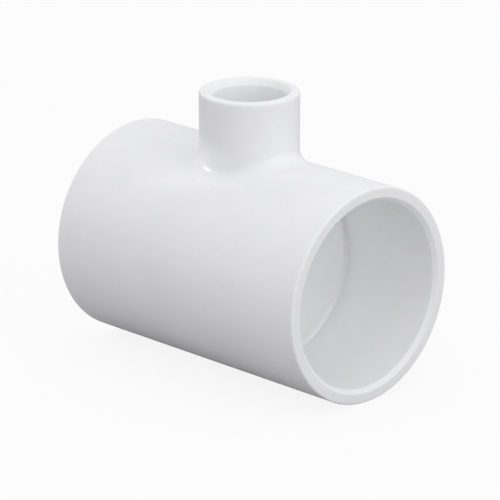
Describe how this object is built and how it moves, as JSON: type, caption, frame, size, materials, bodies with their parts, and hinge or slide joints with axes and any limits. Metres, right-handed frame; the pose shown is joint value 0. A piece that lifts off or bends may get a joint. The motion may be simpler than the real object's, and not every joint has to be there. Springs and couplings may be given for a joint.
{
  "type": "pvc tee fitting",
  "caption": "Reducing pipe tee: a straight run with a slip socket at each end and a smaller branch outlet that rises from its middle over a rounded saddle.",
  "frame": {"origin": "where the run's axis meets the branch's axis", "axes": "+X along the run, +Z along the branch and out of its mouth"},
  "size_m": [0.106, 0.07, 0.091],
  "materials": {
    "white_pvc": "smooth satin white moulding"
  },
  "bodies": {
    "root": {"tee_body": "white_pvc"}
  },
  "joints": []
}
